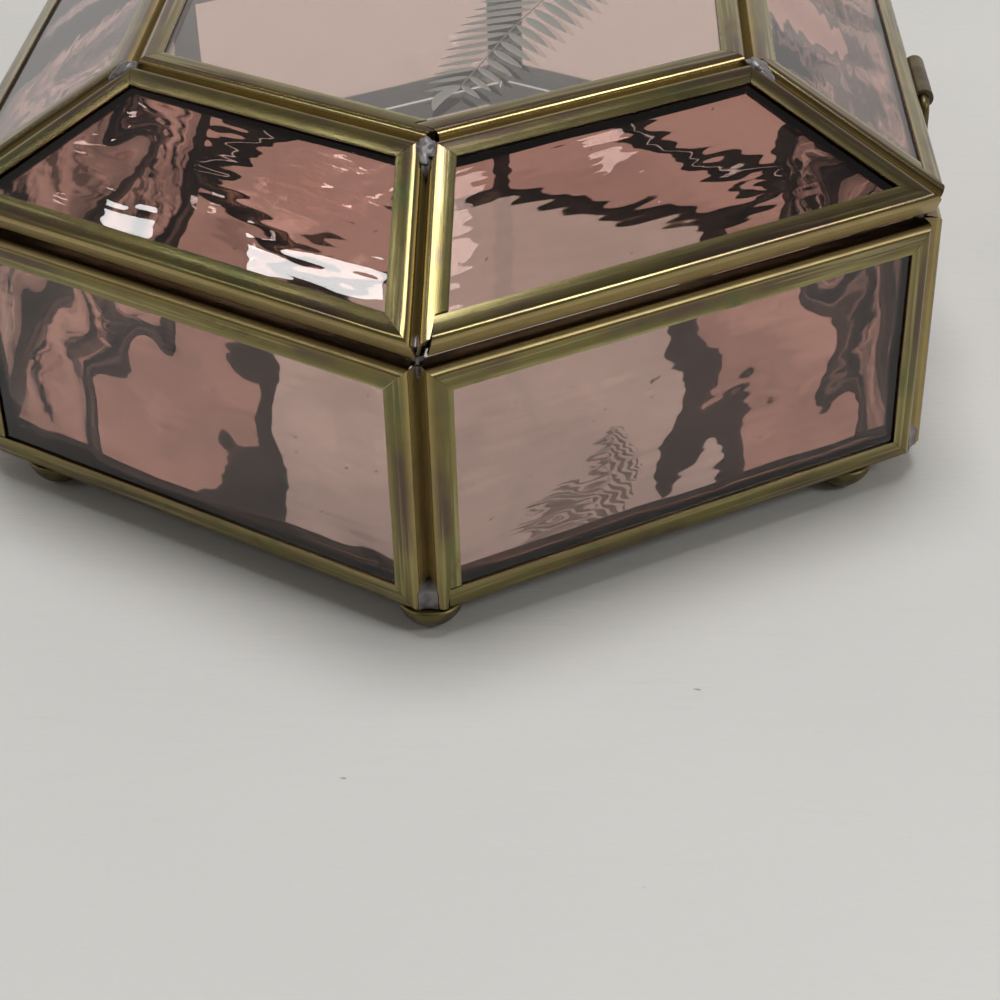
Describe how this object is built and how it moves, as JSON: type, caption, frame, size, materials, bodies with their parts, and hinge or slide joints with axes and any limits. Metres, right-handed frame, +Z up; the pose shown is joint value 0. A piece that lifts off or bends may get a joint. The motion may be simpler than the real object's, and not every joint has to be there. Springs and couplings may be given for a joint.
{
  "type": "glass casket box",
  "caption": "Long hexagonal casket box of rose glass panes in soldered brass cames, with a mirrored floor, dome feet and a hinged lid that has an etched clear top.",
  "frame": {"origin": "on the table under the middle of the box", "axes": "+Z up; +X along the box to its right pointed end; +Y to the back, the long side with the hinges; the lift tab is at -Y"},
  "size_m": [0.2108, 0.1252, 0.0518],
  "materials": {
    "rose_glass": "transparent rose glass with a wavy rolled surface",
    "clear_glass": "clear polished glass, etched on its outside face",
    "mirror": "silvered glass",
    "brass_came": "antiqued brass sheet, satin with brown tarnish",
    "brass_foot": "antiqued brass, pressed",
    "brass_hinge": "dark tarnished brass tube",
    "brass_wire": "dark tarnished brass wire",
    "solder": "dull grey tin solder"
  },
  "bodies": {
    "casket": {"wall_glass_back_right": "rose_glass", "wall_glass_back": "rose_glass", "wall_glass_back_left": "rose_glass", "wall_glass_front_left": "rose_glass", "wall_glass_front": "rose_glass", "wall_glass_front_right": "rose_glass", "wall_came_back_right": "brass_came", "wall_came_back": "brass_came", "wall_came_back_left": "brass_came", "wall_came_front_left": "brass_came", "wall_came_front": "brass_came", "wall_came_front_right": "brass_came", "floor_mirror": "mirror", "floor_came": "brass_came", "wall_solder": "solder", "foot_right": "brass_foot", "foot_back_right": "brass_foot", "foot_back_left": "brass_foot", "foot_left": "brass_foot", "foot_front_left": "brass_foot", "foot_front_right": "brass_foot", "hinge_wire_right": "brass_wire", "hinge_wire_left": "brass_wire"},
    "lid": {"lid_glass_back_right": "rose_glass", "lid_glass_back": "rose_glass", "lid_glass_back_left": "rose_glass", "lid_glass_front_left": "rose_glass", "lid_glass_front": "rose_glass", "lid_glass_front_right": "rose_glass", "lid_came_back_right": "brass_came", "lid_came_back": "brass_came", "lid_came_back_left": "brass_came", "lid_came_front_left": "brass_came", "lid_came_front": "brass_came", "lid_came_front_right": "brass_came", "top_glass": "clear_glass", "top_came": "brass_came", "lid_solder": "solder", "lift_tab": "brass_came", "hinge_tube_right": "brass_hinge", "hinge_tube_left": "brass_hinge"}
  },
  "joints": [
    {"name": "lid_hinge", "type": "hinge", "parent": "casket", "child": "lid", "pos_m": [0, 0.06132, 0.03852], "axis": [-1, 0, 0], "range_deg": [0, 105]}
  ]
}
